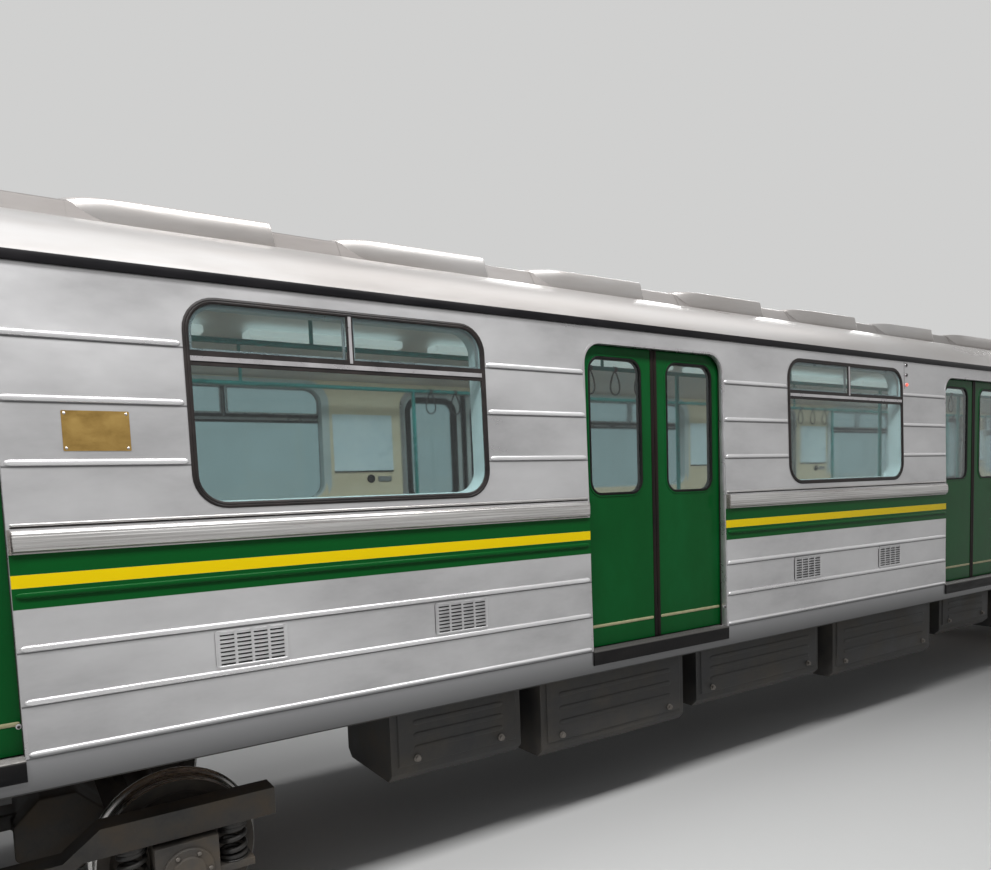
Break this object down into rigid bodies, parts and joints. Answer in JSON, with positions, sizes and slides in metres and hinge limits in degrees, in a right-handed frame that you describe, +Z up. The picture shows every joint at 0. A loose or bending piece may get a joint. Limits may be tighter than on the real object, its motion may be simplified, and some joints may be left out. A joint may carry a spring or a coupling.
{
  "type": "metro car without a driver's cab",
  "caption": "Full-size metro car: ribbed steel body with sliding doors, longitudinal benches, roof ventilation hoods, two bogies and couplers.",
  "frame": {"origin": "under the middle of the car, at the lowest point of the wheel flanges, 28 mm below the rail head", "axes": "+X along the car, -Y the side shown in the picture, +Z up"},
  "size_m": [19.166, 2.7112, 3.7126],
  "materials": {
    "body_steel": "bare ribbed steel, brushed",
    "roof_steel": "grey painted roof sheet",
    "green_paint": "semi-gloss green paint",
    "black_paint": "black paint",
    "bogie_paint": "dark grey paint",
    "black_rubber": "black rubber",
    "window_glass": "clear glass with a faint tint",
    "lining_panel": "beige laminate",
    "ceiling_panel": "white paint",
    "floor_covering": "brown linoleum",
    "seat_cloth": "brown artificial leather",
    "rail_paint": "teal enamel",
    "lamp_cover": "opal lamp cover",
    "lamp_lens": "red lens",
    "cast_steel": "cast steel",
    "spring_steel": "painted spring steel",
    "wheel_steel": "rolled wheel steel"
  },
  "bodies": {
    "car_body": {"air_tanks": "black_paint", "belt_and_ribs": "body_steel", "ceiling": "ceiling_panel", "ceiling_lights": "lamp_cover", "door_rails": "black_paint", "door_sills": "black_paint", "end_walls": "body_steel", "floor": "floor_covering", "handrails": "rail_paint", "lining": "lining_panel", "rain_gutters": "black_paint", "roof": "roof_steel", "roof_duct": "roof_steel", "roof_hoods": "roof_steel", "seat_backs": "seat_cloth", "seat_cushions": "seat_cloth", "seat_frames": "lining_panel", "side_beams": "black_paint", "side_grilles": "body_steel", "side_lamps": "lamp_lens", "side_wall_left": "body_steel", "side_wall_right": "body_steel", "underfloor_boxes": "black_paint", "underframe": "black_paint", "window_frames": "black_rubber", "window_glass": "window_glass"},
    "bogie_front": {"axle_boxes_front": "bogie_paint", "bogie_bolster_front": "bogie_paint", "bogie_frame_front": "bogie_paint", "springs_front": "spring_steel", "traction_motors_front": "bogie_paint"},
    "bogie_rear": {"axle_boxes_rear": "bogie_paint", "bogie_bolster_rear": "bogie_paint", "bogie_frame_rear": "bogie_paint", "springs_rear": "spring_steel", "traction_motors_rear": "bogie_paint"},
    "coupler_front": {"coupler_front": "cast_steel"},
    "coupler_rear": {"coupler_rear": "cast_steel"},
    "door_leaf_left_1a": {"door_leaf_left_1a": "green_paint"},
    "door_leaf_left_1b": {"door_leaf_left_1b": "green_paint"},
    "door_leaf_left_2a": {"door_leaf_left_2a": "green_paint"},
    "door_leaf_left_2b": {"door_leaf_left_2b": "green_paint"},
    "door_leaf_left_3a": {"door_leaf_left_3a": "green_paint"},
    "door_leaf_left_3b": {"door_leaf_left_3b": "green_paint"},
    "door_leaf_left_4a": {"door_leaf_left_4a": "green_paint"},
    "door_leaf_left_4b": {"door_leaf_left_4b": "green_paint"},
    "door_leaf_right_1a": {"door_leaf_right_1a": "green_paint"},
    "door_leaf_right_1b": {"door_leaf_right_1b": "green_paint"},
    "door_leaf_right_2a": {"door_leaf_right_2a": "green_paint"},
    "door_leaf_right_2b": {"door_leaf_right_2b": "green_paint"},
    "door_leaf_right_3a": {"door_leaf_right_3a": "green_paint"},
    "door_leaf_right_3b": {"door_leaf_right_3b": "green_paint"},
    "door_leaf_right_4a": {"door_leaf_right_4a": "green_paint"},
    "door_leaf_right_4b": {"door_leaf_right_4b": "green_paint"},
    "end_door_front": {"end_door_front": "green_paint"},
    "end_door_rear": {"end_door_rear": "green_paint"},
    "wheelset_front_1": {"wheelset_front_1": "wheel_steel"},
    "wheelset_front_2": {"wheelset_front_2": "wheel_steel"},
    "wheelset_rear_1": {"wheelset_rear_1": "wheel_steel"},
    "wheelset_rear_2": {"wheelset_rear_2": "wheel_steel"}
  },
  "joints": [
    {"name": "slide_right_1a", "type": "slide", "parent": "car_body", "child": "door_leaf_right_1a", "axis": [-1, 0, 0], "range_m": [0, 0.604]},
    {"name": "slide_right_1b", "type": "slide", "parent": "car_body", "child": "door_leaf_right_1b", "axis": [1, 0, 0], "range_m": [0, 0.604]},
    {"name": "slide_right_2a", "type": "slide", "parent": "car_body", "child": "door_leaf_right_2a", "axis": [-1, 0, 0], "range_m": [0, 0.604]},
    {"name": "slide_right_2b", "type": "slide", "parent": "car_body", "child": "door_leaf_right_2b", "axis": [1, 0, 0], "range_m": [0, 0.604]},
    {"name": "slide_right_3a", "type": "slide", "parent": "car_body", "child": "door_leaf_right_3a", "axis": [-1, 0, 0], "range_m": [0, 0.604]},
    {"name": "slide_right_3b", "type": "slide", "parent": "car_body", "child": "door_leaf_right_3b", "axis": [1, 0, 0], "range_m": [0, 0.604]},
    {"name": "slide_right_4a", "type": "slide", "parent": "car_body", "child": "door_leaf_right_4a", "axis": [-1, 0, 0], "range_m": [0, 0.604]},
    {"name": "slide_right_4b", "type": "slide", "parent": "car_body", "child": "door_leaf_right_4b", "axis": [1, 0, 0], "range_m": [0, 0.604]},
    {"name": "slide_left_1a", "type": "slide", "parent": "car_body", "child": "door_leaf_left_1a", "axis": [1, 0, 0], "range_m": [0, 0.604]},
    {"name": "slide_left_1b", "type": "slide", "parent": "car_body", "child": "door_leaf_left_1b", "axis": [-1, 0, 0], "range_m": [0, 0.604]},
    {"name": "slide_left_2a", "type": "slide", "parent": "car_body", "child": "door_leaf_left_2a", "axis": [1, 0, 0], "range_m": [0, 0.604]},
    {"name": "slide_left_2b", "type": "slide", "parent": "car_body", "child": "door_leaf_left_2b", "axis": [-1, 0, 0], "range_m": [0, 0.604]},
    {"name": "slide_left_3a", "type": "slide", "parent": "car_body", "child": "door_leaf_left_3a", "axis": [1, 0, 0], "range_m": [0, 0.604]},
    {"name": "slide_left_3b", "type": "slide", "parent": "car_body", "child": "door_leaf_left_3b", "axis": [-1, 0, 0], "range_m": [0, 0.604]},
    {"name": "slide_left_4a", "type": "slide", "parent": "car_body", "child": "door_leaf_left_4a", "axis": [1, 0, 0], "range_m": [0, 0.604]},
    {"name": "slide_left_4b", "type": "slide", "parent": "car_body", "child": "door_leaf_left_4b", "axis": [-1, 0, 0], "range_m": [0, 0.604]},
    {"name": "bogie_front_turn", "type": "hinge", "parent": "car_body", "child": "bogie_front", "pos_m": [6.3, 0, 0.968], "axis": [0, 0, 1], "range_deg": [-6, 6]},
    {"name": "wheelset_front_1_roll", "type": "hinge", "parent": "bogie_front", "child": "wheelset_front_1", "pos_m": [7.35, 0, 0.418], "axis": [0, 1, 0], "continuous": true},
    {"name": "wheelset_front_2_roll", "type": "hinge", "parent": "bogie_front", "child": "wheelset_front_2", "pos_m": [5.25, 0, 0.418], "axis": [0, 1, 0], "continuous": true},
    {"name": "coupler_front_swing", "type": "hinge", "parent": "car_body", "child": "coupler_front", "pos_m": [8.5, 0, 0.828], "axis": [0, 0, 1], "range_deg": [-15, 15]},
    {"name": "end_door_front_swing", "type": "hinge", "parent": "car_body", "child": "end_door_front", "pos_m": [9.313, 0.325, 2.178], "axis": [0, 0, -1], "range_deg": [0, 90]},
    {"name": "bogie_rear_turn", "type": "hinge", "parent": "car_body", "child": "bogie_rear", "pos_m": [-6.3, 0, 0.968], "axis": [0, 0, 1], "range_deg": [-6, 6]},
    {"name": "wheelset_rear_1_roll", "type": "hinge", "parent": "bogie_rear", "child": "wheelset_rear_1", "pos_m": [-5.25, 0, 0.418], "axis": [0, 1, 0], "continuous": true},
    {"name": "wheelset_rear_2_roll", "type": "hinge", "parent": "bogie_rear", "child": "wheelset_rear_2", "pos_m": [-7.35, 0, 0.418], "axis": [0, 1, 0], "continuous": true},
    {"name": "coupler_rear_swing", "type": "hinge", "parent": "car_body", "child": "coupler_rear", "pos_m": [-8.5, 0, 0.828], "axis": [0, 0, 1], "range_deg": [-15, 15]},
    {"name": "end_door_rear_swing", "type": "hinge", "parent": "car_body", "child": "end_door_rear", "pos_m": [-9.313, -0.325, 2.178], "axis": [0, 0, -1], "range_deg": [0, 90]}
  ],
  "couplings": [
    {"joint": "slide_right_1b", "follows": "slide_right_1a", "ratio": 1},
    {"joint": "slide_right_2b", "follows": "slide_right_2a", "ratio": 1},
    {"joint": "slide_right_3b", "follows": "slide_right_3a", "ratio": 1},
    {"joint": "slide_right_4b", "follows": "slide_right_4a", "ratio": 1},
    {"joint": "slide_left_1b", "follows": "slide_left_1a", "ratio": 1},
    {"joint": "slide_left_2b", "follows": "slide_left_2a", "ratio": 1},
    {"joint": "slide_left_3b", "follows": "slide_left_3a", "ratio": 1},
    {"joint": "slide_left_4b", "follows": "slide_left_4a", "ratio": 1}
  ]
}
